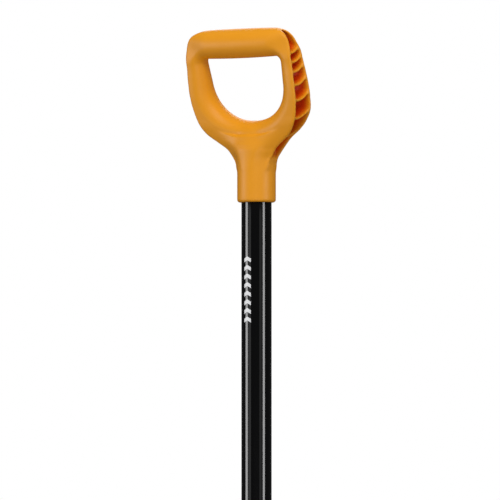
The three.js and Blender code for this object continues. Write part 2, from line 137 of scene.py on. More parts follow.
class Graph:
    """The node tree of one material or world."""

    def __init__(self, tree):
        self.tree = tree
        tree.nodes.clear()

    def node(self, kind, settings, *values, out=0, **named):
        """Adds a node: its settings first, then values or wires for its sockets."""
        made = self.tree.nodes.new(kind)
        for key, value in settings.items():
            if key == "stops":
                ramp = made.color_ramp.elements
                while len(ramp) < len(value):
                    ramp.new(1.0)
                for stop, (position, level) in zip(ramp, value):
                    stop.position, stop.color = position, (level, level, level, 1)
            else:
                setattr(made, key, value)
        sockets = list(zip(made.inputs, values))
        sockets += [(made.inputs[key.replace("_", " ")], value) for key, value in named.items()]
        for socket, value in sockets:
            if isinstance(value, Wire):
                self.tree.links.new(value.socket, socket)
            else:
                socket.default_value = value
        return Wire(self, made.outputs[out])

    def blend(self, factor, first, second):
        """A colour between two others."""
        made = self.tree.nodes.new("ShaderNodeMix")
        made.data_type = "RGBA"
        for index, value in ((0, factor), (6, first), (7, second)):
            if isinstance(value, Wire):
                self.tree.links.new(value.socket, made.inputs[index])
            else:
                made.inputs[index].default_value = value
        return Wire(self, made.outputs[2])

    def place(self):
        return self.node("ShaderNodeTexCoord", {}, out="Object")

    def noise(self, scale, detail=2.0, roughness=0.5):
        return self.node("ShaderNodeTexNoise", {}, Vector=self.place(), Scale=scale,
                         Detail=detail, Roughness=roughness)

    def ramp(self, factor, *stops):
        return self.node("ShaderNodeValToRGB", {"stops": stops}, factor)

    def bump(self, height, strength, distance):
        return self.node("ShaderNodeBump", {}, Height=height, Strength=strength, Distance=distance)

    def surface(self, **sockets):
        """The finished surface, with its constant and its varying inputs."""
        shader = self.node("ShaderNodeBsdfPrincipled", {}, **sockets)
        output = self.tree.nodes.new("ShaderNodeOutputMaterial")
        self.tree.links.new(shader.socket, output.inputs["Surface"])


def colour(values, level=1.0):
    return (*[value * level for value in values], 1.0)


def new_material(name):
    material = bpy.data.materials.new(name)
    material.use_nodes = True
    return material, Graph(material.node_tree)


def grip_plastic(finishes):
    """Satin orange moulding: faint flow clouds, fine spark texture, slightly polished high spots, and
    painted shade, with the channels' hollows darkened to deep red.
    """
    material, g = new_material("orange_moulding")
    clouds = g.noise(22, 3)
    specks = g.noise(900, 2)
    tint = g.blend(clouds, colour(finishes.grip, 0.955), colour(finishes.grip, 1.03))
    tint = g.blend(g.ramp(specks, (0.30, 0.0), (0.72, 0.10)), tint, colour((1.0, 0.50, 0.04)))
    # Painted shade: points deep in the channels are darkened towards deep red, in place of the shade and
    # reddened bounce light that falls down there.
    pocket = g.node("ShaderNodeAttribute", {"attribute_name": "pocket"}, out="Fac")
    tint = g.blend(pocket * 0.9, tint, colour((0.80, 0.05, 0.0)))
    rubbed = g.ramp(g.noise(60, 4), (0.35, 0.0), (0.75, 1.0))
    grain = g.bump(g.noise(1500, 2, 0.6), 0.10, 0.0004)
    g.surface(Base_Color=tint, Roughness=0.40 + rubbed * 0.07, Normal=grain, Specular_IOR_Level=0.27)
    return material


def shaft_coating(finishes):
    """Gloss black coating with a slight orange peel, fine dust specks and a printed mark."""
    material, g = new_material("gloss_black")
    spot = g.place()
    x, y, z = (g.node("ShaderNodeSeparateXYZ", {}, spot, out=axis) for axis in range(3))
    # Chevrons printed up the front of the tube: arc is the distance round it from their middle.
    middle, count, pitch, half_width = radians(-94), 8, 9.1 * MM, 4.4 * MM
    slant, half_stripe = 0.55, 0.22  # a chevron's arms, and half its height in pitches
    bottom = COLLAR_Z - 55 * MM - count * pitch
    angle = g.node("ShaderNodeMath", {"operation": "ARCTAN2"}, y - AXIS_Y, x) - middle
    arc = abs(angle) * TUBE_RADIUS
    steps = (z - bottom + arc * slant) / pitch
    stripe = abs(g.node("ShaderNodeMath", {"operation": "FRACT"}, steps) - 0.5) < half_stripe
    ink = stripe * ((steps > 0.0) * (steps < float(count)) * (arc < half_width))
    dust = g.ramp(g.noise(1300, 1), (0.70, 0.0), (0.78, 1.0))
    base = g.blend(dust * 0.04, colour(finishes.shaft), colour((0.05, 0.05, 0.055)))
    base = g.blend(ink, base, colour(finishes.mark))
    peel = g.bump(g.noise(260, 2), 0.015, 0.0003)
    haze = g.noise(35, 3)
    g.surface(Base_Color=base, Roughness=0.08 + haze * 0.04 + ink * 0.3, Normal=peel, IOR=1.5)
    return material


def head_coating(finishes):
    """Black powder coating, worn through to bright steel towards the tine points."""
    material, g = new_material("powder_black")
    z = g.node("ShaderNodeSeparateXYZ", {}, g.place(), out=2)
    low = g.ramp(z * 6.0, (0.0, 1.0), (0.62, 0.0))  # fades out 167 mm above the points
    drawn_out = g.node("ShaderNodeMapping", {}, g.place(), Scale=(90.0, 90.0, 14.0))
    scuffs = g.node("ShaderNodeTexNoise", {}, Vector=drawn_out, Scale=1.0, Detail=6.0, Roughness=0.62)
    bare = g.ramp(scuffs + low * 0.16, (0.66, 0.0), (0.73, 1.0))
    patina = g.noise(45, 4)
    steel = g.blend(patina, colour((0.30, 0.29, 0.28)), colour((0.52, 0.51, 0.50)))
    paint = g.blend(patina, colour(finishes.head, 0.8), colour(finishes.head, 1.5))
    texture = g.bump(g.noise(520, 3, 0.6) - bare * 0.6, 0.28, 0.0005)
    g.surface(Base_Color=g.blend(bare, paint, steel), Metallic=bare,
              Roughness=0.42 + patina * 0.12 - bare * 0.12, Normal=texture)
    return material


def screw_steel(finishes):
    """Zinc plating, slightly mottled."""
    material, g = new_material("zinc_plating")
    mottle = g.noise(700, 4)
    g.surface(Base_Color=g.blend(mottle, colour((0.50, 0.51, 0.53)), colour((0.66, 0.66, 0.64))),
              Metallic=1.0, Roughness=0.24 + mottle * 0.16, Normal=g.bump(mottle, 0.1, 0.0002))
    return material


MAKERS = {"grip_plastic": grip_plastic, "shaft_coating": shaft_coating,
          "head_coating": head_coating, "screw_steel": screw_steel}
MADE = {}


def finish_named(slot):
    """The finish of a slot, made the first time it is asked for."""
    if slot not in MADE:
        MADE[slot] = MAKERS[slot](bpy.context.scene.fork_finishes)
    return MADE[slot]


# ------------------------------------------------------------------ modelling helpers
def deselect():
    """Leaves edit mode, with nothing selected."""
    if bpy.context.object and bpy.context.object.mode != "OBJECT":
        bpy.ops.object.mode_set(mode="OBJECT")
    bpy.ops.object.select_all(action="DESELECT")


def select_only(piece):
    deselect()
    piece.select_set(True)
    bpy.context.view_layer.objects.active = piece


def hand_over(piece, name, slot, *nodes, smooth=35):
    """Applies a new piece's place, shades it, gives it its finish and its body, and hides the CAD nodes it
    stands in for.
    """
    select_only(piece)
    bpy.ops.object.transform_apply(location=True, rotation=True, scale=True)
    bpy.ops.object.shade_smooth_by_angle(angle=radians(smooth))
    piece.name = piece.data.name = name
    piece.data.materials.clear()
    piece.data.materials.append(finish_named(slot))
    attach(piece, "root")
    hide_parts(*nodes)


def mirrored_copy(piece, name, node, smooth=40):
    """A copy, with a mesh of its own, of a piece of the left side, for the right side."""
    copy = piece.copy()
    copy.data = piece.data.copy()
    bpy.context.scene.collection.objects.link(copy)
    copy.data.transform(Matrix.Scale(-1, 4, (1, 0, 0)))
    copy.data.flip_normals()
    hand_over(copy, name, "head_coating", node, smooth=smooth)


def add_modifier(piece, kind, **settings):
    """Adds a modifier and applies it."""
    select_only(piece)
    modifier = piece.modifiers.new(kind.title(), kind)
    for key, value in settings.items():
        setattr(modifier, key, value)
    bpy.ops.object.modifier_apply(modifier=modifier.name)


def outward():
    """Turns all faces outwards and leaves edit mode."""
    bpy.ops.mesh.select_all(action="SELECT")
    bpy.ops.mesh.normals_make_consistent(inside=False)
    bpy.ops.object.mode_set(mode="OBJECT")


def start_section(half_width, half_depth, corner, matrix, segments=5):
    """A flat section to extrude: a plate whose four corners are rounded, left selected in edit mode."""
    deselect()
    bpy.ops.mesh.primitive_plane_add(size=2)
    piece = bpy.context.object
    bpy.ops.object.mode_set(mode="EDIT")
    bpy.ops.transform.resize(value=(half_width, half_depth, 1))
    bpy.ops.mesh.select_all(action="SELECT")
    bpy.ops.mesh.bevel(offset=corner, offset_type="OFFSET", segments=segments, affect="VERTICES")
    bpy.ops.object.mode_set(mode="OBJECT")
    piece.data.transform(matrix)
    bpy.ops.object.mode_set(mode="EDIT")
    bpy.ops.mesh.select_all(action="SELECT")
    return piece


def extrude(x, y, z):
    bpy.ops.mesh.extrude_region_move(TRANSFORM_OT_translate={"value": (x, y, z)})


def extrude_to(centre, previous, turn, scale):
    """Extrudes the selected section to its next centre, turning it about X and resizing it there."""
    extrude(*(centre - previous))
    if turn:
        bpy.ops.transform.rotate(value=turn, orient_axis="X", center_override=tuple(centre))
    bpy.ops.transform.resize(value=scale, center_override=tuple(centre))


# ------------------------------------------------------------------ D-grip
# The D is described flat, in millimetres: x across, s up its centre line, m from its front (-)
# to its back (+). bend() then carries it to its place on the leaning grip.
GRIP_LEAN = radians(16.3)
BEND_FROM, BEND_TO = 56.0, 84.0
GRIP_TOP, BAR_CENTRE, BAR_RADIUS, BAR_END_RADIUS, LEG_TOP_DEPTH = 187.0, 171.2, 15.65, 14.2, 12.8
BODY_DEPTH, WALL = 31.0, 2.8
WINDOW_FLOOR, WINDOW_WIDE, WINDOW_HALF, WINDOW_SQUARENESS = 86.6, 130.0, 47.4, 2.11
WINDOW_CORNER, WINDOW_TOP_HALF, WINDOW_TOP_RISE = 5.0, 48.8, 0.8

FRONT_LOW = [(0, 31), (13.6, 35), (16.8, 41), (20.2, 46.5), (27.4, 56), (40.8, 66), (53, 76),
             (61.6, 90), (65.8, 106), (67.3, 121)]
FRONT_TOP = [(67.3, 137), (66.9, 150), (66.4, 164), (63.2, 177.6), (54, 184.8), (28, 186.6), (0, 187)]
BACK_LOW = [(0, 31), (13.4, 35), (15.4, 41), (18.6, 48), (24, 56), (34.2, 66), (48.6, 75),
            (58.6, 84), (64.8, 94.5), (66.7, 107), (67.4, 121)]
BACK_TOP = [(67.2, 137), (66.8, 150), (65.6, 164), (60.6, 176.6), (49, 183.8), (26, 186.3), (0, 187)]
SIDE_TURN = 13  # the front outline turns into the back one from this far before to behind the middle

# Pairs named _SPAN are where a change starts and ends, mostly as heights up the centre line.
LEG_SPAN, LEG_TO_BAR_SPAN = (112, 160), (138, 156)
BAR_SWELL_HALF, BAR_END_SPAN = 46, (38, 68)  # across
BAR_SHOULDER, BAR_SHOULDER_SPAN = 4.6, (154, 176)
BAR_WAIST, BAR_WAIST_SPAN, BAR_WAIST_ACROSS = 1.6, (150, 160), (42, 60)
FLANGE_DEPTH, FLANGE_SPAN = 9.0, (46, 88)  # the rim is thinner where it leaves the collar
FLANGE_SPREAD, FLANGE_MIDDLE = 0.67, 14  # and stands further out, except at the centre line
YOKE_SWELL, YOKE_SWELL_SPAN = 4.6, (46, 84)
YOKE_FLANK = (0.28, 1.04)  # shares of the half width over which the swell falls away
YOKE_DIP, YOKE_DIP_SPAN, YOKE_END = 2.2, (42, 56), 92

COLLAR_PROFILE = [(0, 20.5), (48, 20.5), (55, 20.0), (62, 18.4), (69, 15.8), (76, 12.4), (82, 8)]
COLLAR_END, COLLAR_BLEND_SPAN, RIM_FROM = 80, (46, 64), 33
KEEP_PROFILE = [(0, 42), (38, 42), (44, 24), (50, 20.6), (60, 20), (70, 18), (80, 12), (86, 0), (200, -20)]
CENTRE_WEB = 7  # half of what stays solid along the centre line
RIBS = (162.5, 152.5, 142.2, 128, 111.4, 91.8, 72.2)
RIB_SAG, RIB_RISE, RIB_THICK, RIB_INSET, RIB_HALF = 4.4, 0.11, 2.2, 1.0, 15
RIB_DRAFT, RIB_DRAFT_DEPTH = 0.15, 14  # how much half a rib thickens for each millimetre inwards

TUBE_PLAY, TUBE_SEAT = 0.2, 50
SCREW_HEIGHT, SCREW_HOLE, SCREW_HOLE_FROM = 22, 2.3, 5
SCREW_RECESS, SCREW_RECESS_FROM = 5.0, 17.4


def ease(value, low, high):
    t = np.clip((value - low) / (high - low), 0, 1)
    return t * t * (3 - 2 * t)


def spline(points, steps=14):
    """A smooth curve through points."""
    p = np.array([points[0]] + points + [points[-1]], float)
    curve = []
    for i in range(1, len(p) - 2):
        for t in np.arange(steps) / steps:
            a, b, c, d = p[i - 1:i + 3]
            curve.append(0.5 * (2 * b + (c - a) * t + (2 * a - 5 * b + 4 * c - d) * t ** 2
                                + (3 * b - a - 3 * c + d) * t ** 3))
    return np.array(curve + [p[-2]])


def window_outline():
    """Right half of the hand opening: a squared ellipse below, a nearly straight side, a flat top."""
    quarter = np.linspace(0, pi / 2, 40)
    power = 2 / WINDOW_SQUARENESS
    rise = (WINDOW_WIDE - WINDOW_FLOOR) * np.cos(quarter).clip(0) ** power
    floor = np.stack([WINDOW_HALF * np.sin(quarter) ** power, WINDOW_WIDE - rise], 1)
    top = BAR_CENTRE - BAR_RADIUS
    ends = top + WINDOW_TOP_RISE
    flat = WINDOW_TOP_HALF - WINDOW_CORNER
    corner = np.stack([flat + WINDOW_CORNER * np.cos(quarter),
                       ends - WINDOW_CORNER + WINDOW_CORNER * np.sin(quarter)], 1)
    t = np.linspace(0, 1, 12)[1:, None]
    start, control, end = np.array([flat, ends]), np.array([20, top]), np.array([0, top])
    bar = (1 - t) ** 2 * start + 2 * t * (1 - t) * control + t ** 2 * end
    return np.concatenate([floor, corner, bar])


def outline_distance(x, s, outline):
    """Distance from a half outline, negative inside it."""
    inside = np.zeros(x.shape, bool)
    nearest = np.full(x.shape, 1e9)
    for (ax, ay), (bx, by) in zip(outline[:-1], outline[1:]):
        dx, dy = bx - ax, by - ay
        length = dx * dx + dy * dy
        if length < 1e-9:
            continue
        t = np.clip(((x - ax) * dx + (s - ay) * dy) / length, 0, 1)
        nearest = np.minimum(nearest, (x - ax - t * dx) ** 2 + (s - ay - t * dy) ** 2)
        if ay != by:
            crosses = ((s >= min(ay, by)) & (s < max(ay, by))) & (ax + (s - ay) / dy * dx > x)
            inside ^= crosses
    return np.where(inside, -1, 1) * np.sqrt(nearest)


def soft_max(a, b, radius):
    """The larger of two fields, with the edge between them rounded."""
    h = np.clip(radius - np.abs(a - b), 0, None) / radius
    return np.maximum(a, b) + h * h * radius / 4


def soft_min(a, b, radius):
    return -soft_max(-a, -b, radius)


def side_distance(x, s, m, thin):
    """Distance outside the rim, whose front and back edges have outlines of their own."""
    narrow = x - thin * FLANGE_SPREAD * ease(x, 0, FLANGE_MIDDLE)
    front = outline_distance(narrow, s, spline(FRONT_LOW + FRONT_TOP))[:, :, None]
    back = outline_distance(narrow, s, spline(BACK_LOW + BACK_TOP))[:, :, None]
    return front + (back - front) * ease(m, -SIDE_TURN, SIDE_TURN)


def half_depths(x, s, thin):
    """Half the depth of the legs alone, and of the legs as they turn into the hand bar."""
    leg = BODY_DEPTH / 2 - thin + (LEG_TOP_DEPTH - BODY_DEPTH / 2) * ease(s, *LEG_SPAN)
    bar = BAR_RADIUS + (BAR_END_RADIUS - BAR_RADIUS) * np.minimum(1, (x / BAR_SWELL_HALF) ** 2)
    slimmer = BAR_END_RADIUS - LEG_TOP_DEPTH + BAR_SHOULDER * ease(s, *BAR_SHOULDER_SPAN)
    bar = bar - ease(x, *BAR_END_SPAN) * slimmer
    return leg, leg + (bar - leg) * ease(s, *LEG_TO_BAR_SPAN)


def yoke_half_depth(x, s, leg, thin):
    """Half the depth of the yoke, which swells from its edges to its middle."""
    across, up = zip(*FRONT_LOW)
    width = np.interp(s, up, across) + FLANGE_SPREAD * thin
    crown = YOKE_SWELL * (1 - ease(s, *YOKE_SWELL_SPAN)) + thin
    dip = YOKE_DIP * (1 - ease(s, *YOKE_DIP_SPAN))
    return leg + crown * (1 - ease(x / width, *YOKE_FLANK)) - dip


def cut_bores(body, x, s, m, reach):
    """Cuts the tube's seat, and the screw's hole and recess at the back."""
    tube = np.maximum(reach - TUBE_RADIUS / MM - TUBE_PLAY, s - TUBE_SEAT)
    aside = np.sqrt(x ** 2 + (s - SCREW_HEIGHT) ** 2)
    hole = np.maximum(aside - SCREW_HOLE, SCREW_HOLE_FROM - m)
    recess = np.maximum(aside - SCREW_RECESS, SCREW_RECESS_FROM - m)
    body = soft_max(body, -np.minimum(tube, hole), 0.5)
    return soft_max(body, -recess, 1.0)


def grip_field(x, s, m):
    """Rough distance from the skin of the flat D, negative in the plastic, and how deep in the channels, a
    mask for the painted shade there.

    The last argument of soft_max and soft_min is how softly two shapes meet.
    """
    x = np.abs(x)
    flat_x, flat_s = x[:, :, 0], s[:, :, 0]
    thin = (BODY_DEPTH / 2 - FLANGE_DEPTH) * (1 - ease(s, *FLANGE_SPAN))
    outer = side_distance(flat_x, flat_s, m, thin[:, :, 0])
    opening = -outline_distance(flat_x, flat_s, window_outline())[:, :, None]  # positive in the opening
    leg, half = half_depths(x, s, thin)
    inner = np.sqrt(np.maximum(half + opening, 0) ** 2 + m ** 2) - half
    over = np.sqrt(((s - BAR_CENTRE) * half / (GRIP_TOP - BAR_CENTRE)) ** 2 + m ** 2) - half
    skin = np.where(s > BAR_CENTRE, over, inner)
    yoke = np.abs(m) - yoke_half_depth(x, s, leg, thin)
    yoke = soft_max(soft_max(yoke, half + opening, 3.0), s - YOKE_END, 1.0)
    side = outer - BAR_WAIST * (1 - ease(x, *BAR_WAIST_ACROSS)) * ease(s, *BAR_WAIST_SPAN)
    rim = soft_max(soft_min(skin, yoke, 0.6), side, 2.4)

    reach = np.sqrt(x ** 2 + m ** 2)
    column = reach - np.interp(s, *zip(*COLLAR_PROFILE))
    column = soft_max(soft_max(column, -s, 3.0), s - COLLAR_END, 6.0)
    rim = np.maximum(rim, RIM_FROM - s)
    body = soft_min(rim, column, 4 + 4 * ease(s, *COLLAR_BLEND_SPAN))

    keep = reach - np.interp(s, *zip(*KEEP_PROFILE))
    hollow = np.maximum(np.maximum(skin + WALL, -keep), CENTRE_WEB - x)
    # How deep a point lies in the channels: this sets where the moulding's colour is darkened as painted
    # shade.
    pocket = ease(-skin, 1.2, 2.4) * ease(-outer, 0.6, 9)
    for at in RIBS:
        lip = at + RIB_RISE * (m + RIB_HALF) - RIB_SAG * (1 - (m / RIB_HALF) ** 2)
        thick = RIB_THICK / 2 + RIB_DRAFT * np.clip(-outer - RIB_INSET, 0, RIB_DRAFT_DEPTH)
        web = soft_max(np.abs(s - lip) - thick, outer + RIB_INSET, 1.0)
        hollow = soft_max(hollow, -web, 3.4)
    body = soft_max(body, -hollow, 1.4)
    return cut_bores(body, x, s, m, reach), pocket


def bend(points):
    """Carries points of the flat D to their places on the tool."""
    x, s, m = points.T
    radius = (BEND_TO - BEND_FROM) / GRIP_LEAN
    turned = np.clip((s - BEND_FROM) / radius, 0, GRIP_LEAN)
    straight = np.maximum(0, s - BEND_TO)
    y = -radius * (1 - np.cos(turned)) - np.sin(turned) * straight + m * np.cos(turned)
    z = np.minimum(s, BEND_FROM) + radius * np.sin(turned) + np.cos(turned) * straight + m * np.sin(turned)
    return np.stack([x * MM, y * MM + AXIS_Y, z * MM + COLLAR_Z], 1)


class FORK_OT_grip(bpy.types.Operator):
    """Mould the D-grip: a field of distances is turned into a fine skin, then bent forward"""

    bl_idname = "fork.grip"
    bl_label = "D-grip"

    SPACE = ((-71, 71), (-4, 191), (-24.5, 24.5))  # what the field covers, a little more than the D
    REACH = 3.0  # how far from the skin the field is kept, in millimetres like the field

    def execute(self, context):
        voxel = context.scene.fork_sizes.grip_voxel / MM
        axes = [np.arange(low, high, voxel) for low, high in self.SPACE]
        offset = np.array([axis[0] for axis in axes])
        x, s, m = np.meshgrid(*axes, indexing="ij")
        field, pocket = grip_field(x, s, m)
        field = np.clip(field, -self.REACH, self.REACH).astype(np.float32)
        grid = openvdb.FloatGrid(self.REACH)
        grid.copyFromArray(field)
        points, quads = grid.convertToQuads(isovalue=0.0)
        mesh = bpy.data.meshes.new("d_grip_skin")
        mesh.from_pydata(bend(points * voxel + offset).tolist(), [], quads[:, ::-1].tolist())
        # Each vertex keeps how deep it lies in the channels, which the moulding reads as painted shade.
        nearest = tuple(np.clip(np.rint(points), 0, np.array(pocket.shape) - 1).astype(int).T)
        depth = mesh.attributes.new("pocket", "FLOAT", "POINT")
        depth.data.foreach_set("value", pocket[nearest].astype(np.float32))
        piece = bpy.data.objects.new("d_grip_skin", mesh)
        context.scene.collection.objects.link(piece)
        select_only(piece)
        bpy.ops.object.mode_set(mode="EDIT")
        outward()
        add_modifier(piece, "SMOOTH", factor=0.5, iterations=4)
        hand_over(piece, "grip_moulding", "grip_plastic", "d_grip", smooth=180)
        return {"FINISHED"}


class FORK_OT_screw(bpy.types.Operator):
    """Turn the self-tapping screw at the back of the collar, with its cross recess"""

    bl_idname = "fork.screw"
    bl_label = "Grip screw"

    def execute(self, context):
        centre = (SCREW_LOW + SCREW_HIGH) / 2
        radius = (SCREW_HIGH.x - SCREW_LOW.x) / 2
        head, shank_radius, shank, tip = 2.6 * MM, 2 * MM, 12 * MM, 3 * MM
        cross = (4.6 * MM, 1.1 * MM, 2.6 * MM)
        deselect()
        bpy.ops.mesh.primitive_cylinder_add(vertices=64, radius=radius, depth=head)
        piece = context.object
        bpy.ops.object.mode_set(mode="EDIT")
        bpy.ops.mesh.select_all(action="DESELECT")
        bpy.ops.object.mode_set(mode="OBJECT")
        for edge in piece.data.edges:
            edge.select = all(piece.data.vertices[v].co.z > 0 for v in edge.vertices)
        bpy.ops.object.mode_set(mode="EDIT")
        bpy.ops.mesh.bevel(offset=1.5 * MM, segments=7, affect="EDGES")
        bpy.ops.object.mode_set(mode="OBJECT")
        for face in piece.data.polygons:
            face.select = face.normal.z < -0.9
        bpy.ops.object.mode_set(mode="EDIT")
        bpy.ops.mesh.select_mode(type="FACE")
        bpy.ops.mesh.inset(thickness=radius - shank_radius)
        extrude(0, 0, -shank)
        extrude(0, 0, -tip)
        bpy.ops.transform.resize(value=(0.3, 0.3, 1))
        bpy.ops.object.mode_set(mode="OBJECT")
        for turn in (0, pi / 2):
            bpy.ops.mesh.primitive_cube_add(size=1, location=(0, 0, head / 2), rotation=(0, 0, turn))
            cutter = context.object
            cutter.scale = cross
            add_modifier(cutter, "BEVEL", width=0.2 * MM, segments=2)
            add_modifier(piece, "BOOLEAN", object=cutter, operation="DIFFERENCE", solver="EXACT")
            bpy.data.objects.remove(cutter)
        turn = Matrix.Rotation(radians(23), 4, "Z")
        back = Matrix.Rotation(-pi / 2, 4, "X")
        place = Matrix.Translation((centre.x, SCREW_HIGH.y - head / 2, centre.z))
        piece.data.transform(place @ back @ turn)
        hand_over(piece, "grip_screw_turned", "screw_steel", "grip_screw", smooth=30)
        return {"FINISHED"}


# ------------------------------------------------------------------ shaft
class FORK_OT_shaft(bpy.types.Operator):
    """Draw the steel tube, open at both ends"""

    bl_idname = "fork.shaft"
    bl_label = "Shaft tube"

    def execute(self, context):
        height, lengths, wall = TUBE_HIGH.z - TUBE_LOW.z, 8, 1.6 * MM
        deselect()
        bpy.ops.mesh.primitive_cylinder_add(
            vertices=160, radius=TUBE_RADIUS, depth=height, end_fill_type="NOTHING",
            location=(0, AXIS_Y, TUBE_LOW.z + height / 2))
        piece = context.object
        bpy.ops.object.mode_set(mode="EDIT")
        for step in range(1, lengths):
            bpy.ops.mesh.select_all(action="SELECT")
            cut = TUBE_LOW.z + height * step / lengths
            bpy.ops.mesh.bisect(plane_co=(0, 0, cut), plane_no=(0, 0, 1))
        outward()
        add_modifier(piece, "SOLIDIFY", thickness=wall, offset=-1)
        add_modifier(piece, "BEVEL", width=0.3 * MM, segments=2, limit_method="ANGLE")
        hand_over(piece, "shaft_tube_drawn", "shaft_coating", "shaft_tube")
        return {"FINISHED"}


# ------------------------------------------------------------------ head
HEAD = (Matrix.Translation((0, AXIS_Y - SOCKET_BEND * tan(HEAD_TILT / 2), YOKE_HEIGHT))
        @ Matrix.Rotation(-HEAD_TILT, 4, "X"))
PITCH = 58 * MM  # from tine to tine
BAR_HALF = 7.5 * MM
TINE_HALF, TINE_HALF_DEEP = 6.75 * MM, 6.25 * MM
TINE_CURVE = radians(8)
TINE_LENGTH = YOKE_HEIGHT / cos(HEAD_TILT + TINE_CURVE / 2)
POINT_LENGTH = 62 * MM
CORNER_RADIUS, STUB, EDGE = 16 * MM, 6 * MM, 2.4 * MM  # the crossbar's turned-down ends
GAP = 0.3 * MM  # between pieces that a weld joins
FOOT_HALF, FOOT_HALF_DEEP = 27 * MM, 10.4 * MM


def socket_line(z):
    """The socket's centre line at a height: how far forward it is, and how far turned."""
    radius = SOCKET_BEND / sin(HEAD_TILT)
    drop = max(0.0, YOKE_HEIGHT + SOCKET_BEND - z)
    turn = np.arcsin(drop / radius)
    return Vector((0, AXIS_Y - radius * (1 - cos(turn)), z)), turn


class FORK_OT_socket(bpy.types.Operator):
    """Forge the socket: a sleeve on the tube that turns forward and fans out to a foot"""

    bl_idname = "fork.socket"
    bl_label = "Socket"

    # Height in metres, half width and half depth in millimetres.
    SHAPE = ((0.4272, 18.6, 18.6), (0.402, 18.6, 18.6), (0.384, 18.6, 18.4),
             (0.376, 18.4, 17.9), (0.370, 18.2, 17.2), (0.364, 18.0, 16.2), (0.358, 18.0, 15.0),
             (0.352, 18.3, 13.8), (0.346, 19.0, 12.8), (0.341, 20.0, 11.9), (0.336, 21.4, 11.0),
             (0.332, 22.6, 10.5), (0.328, 24.0, 10.2), (0.3240, 25.6, 10.3), (0.3200, 27.0, 10.4))

    def execute(self, context):
        top, lip, play = 0.4279, 18.0 * MM, 0.15 * MM
        deselect()
        bpy.ops.mesh.primitive_circle_add(
            vertices=96, radius=lip, fill_type="NGON", location=(0, AXIS_Y, top))
        piece = context.object
        bpy.ops.object.transform_apply(location=True)
        bpy.ops.object.mode_set(mode="EDIT")
        bpy.ops.mesh.select_all(action="SELECT")
        previous, turned = Vector((0, AXIS_Y, top)), 0.0
        wide = deep = lip
        for height, half_wide, half_deep in self.SHAPE:
            centre, turn = socket_line(height)
            extrude_to(centre, previous, turn - turned,
                       (half_wide * MM / wide, half_deep * MM / deep, 1))
            previous, turned, wide, deep = centre, turn, half_wide * MM, half_deep * MM
        outward()
        for face in piece.data.polygons:
            face.select = face.center.z > top - 0.1 * MM
        bpy.ops.object.mode_set(mode="EDIT")
        bpy.ops.mesh.select_mode(type="FACE")
        bpy.ops.mesh.inset(thickness=lip - TUBE_RADIUS - play)
        extrude(0, 0, TUBE_LOW.z - GAP - top)
        bpy.ops.mesh.select_all(action="DESELECT")
        bpy.ops.object.mode_set(mode="OBJECT")
        hand_over(piece, "socket_forged", "head_coating", "socket", smooth=50)
        return {"FINISHED"}


class FORK_OT_crossbar(bpy.types.Operator):
    """Bend the crossbar, whose ends turn down into the outer tines"""

    bl_idname = "fork.crossbar"
    bl_label = "Crossbar"

    def execute(self, context):
        half, steps = 1.5 * PITCH, 14
        flat = half - CORNER_RADIUS
        corner = {"steps": 10, "angle": pi / 2, "axis": (0, -1, 0)}
        piece = start_section(TINE_HALF, TINE_HALF_DEEP, EDGE,
                              Matrix.Translation((-half, 0, -CORNER_RADIUS - STUB)))
        extrude(0, 0, STUB)
        bpy.ops.mesh.spin(center=(-flat, 0, -CORNER_RADIUS), **corner)
        if self.leans_out(piece):
            raise RuntimeError("the crossbar's corner turned the wrong way")
        for _ in range(steps):
            extrude(2 * flat / steps, 0, 0)
        bpy.ops.mesh.spin(center=(flat, 0, -CORNER_RADIUS), **corner)
        extrude(0, 0, -STUB)
        bpy.ops.mesh.select_all(action="SELECT")
        bpy.ops.mesh.remove_doubles(threshold=0.00001)
        outward()
        for vertex in piece.data.vertices:
            # Stouter front to back at the socket, and taller all along but its ends.
            vertex.co.y *= 1 + 0.36 * (1 - ease(abs(vertex.co.x), 14 * MM, 62 * MM))
            vertex.co.z *= 1 + 0.11 * (1 - ease(abs(vertex.co.x), flat, half))
        piece.data.transform(HEAD)
        hand_over(piece, "crossbar_bent", "head_coating", "crossbar", smooth=40)
        return {"FINISHED"}

    @staticmethod
    def leans_out(piece):
        bpy.ops.object.mode_set(mode="OBJECT")
        lowest = min(vertex.co.x for vertex in piece.data.vertices)
        bpy.ops.object.mode_set(mode="EDIT")
        return lowest < -1.5 * PITCH - 2 * TINE_HALF


def tine(name, node, x, top):
    """One tine: a square bar that curves forward and is drawn out to a point."""
    radius = TINE_LENGTH / TINE_CURVE
    steps, even_steps, crowding = 26, 14, 1.25  # the rings crowd together towards the point
    slimming, tip = 0.296, 0.16
    point_from = 1 - POINT_LENGTH / TINE_LENGTH
    piece = start_section(TINE_HALF, TINE_HALF_DEEP, bpy.context.scene.fork_sizes.tine_bevel,
                          Matrix.Translation((x, 0, top)))
    previous, size, turned = Vector((x, 0, top)), 1.0, 0.0
    for step in range(1, steps + 1):
        t = step / steps if step < even_steps else 1 - (1 - step / steps) ** crowding
        down = -top + (TINE_LENGTH + top) * t
        turn = down / radius
        centre = Vector((x, -radius * (1 - cos(turn)), -radius * sin(turn)))
        body = 1 - slimming * min(1, t / point_from)
        sharp = max(0.0, 1 - float(ease(t, point_from, 1.004))) ** 0.5
        new_size = body * (tip + (1 - tip) * sharp)
        extrude_to(centre, previous, turn - turned, (new_size / size,) * 3)
        previous, size, turned = centre, new_size, turn
    outward()
    piece.data.transform(HEAD)
    hand_over(piece, name, "head_coating", node, smooth=40)
    return piece


class FORK_OT_tines(bpy.types.Operator):
    """Draw the four tines"""

    bl_idname = "fork.tines"
    bl_label = "Tines"

    def execute(self, context):
        for kind, x, top in (("outer", -1.5 * PITCH, -CORNER_RADIUS - STUB - GAP),
                             ("inner", -0.5 * PITCH, -BAR_HALF - GAP)):
            piece = tine(f"left_{kind}_tine_drawn", f"left_{kind}_tine", x, top)
            mirrored_copy(piece, f"right_{kind}_tine_drawn", f"right_{kind}_tine")
        return {"FINISHED"}


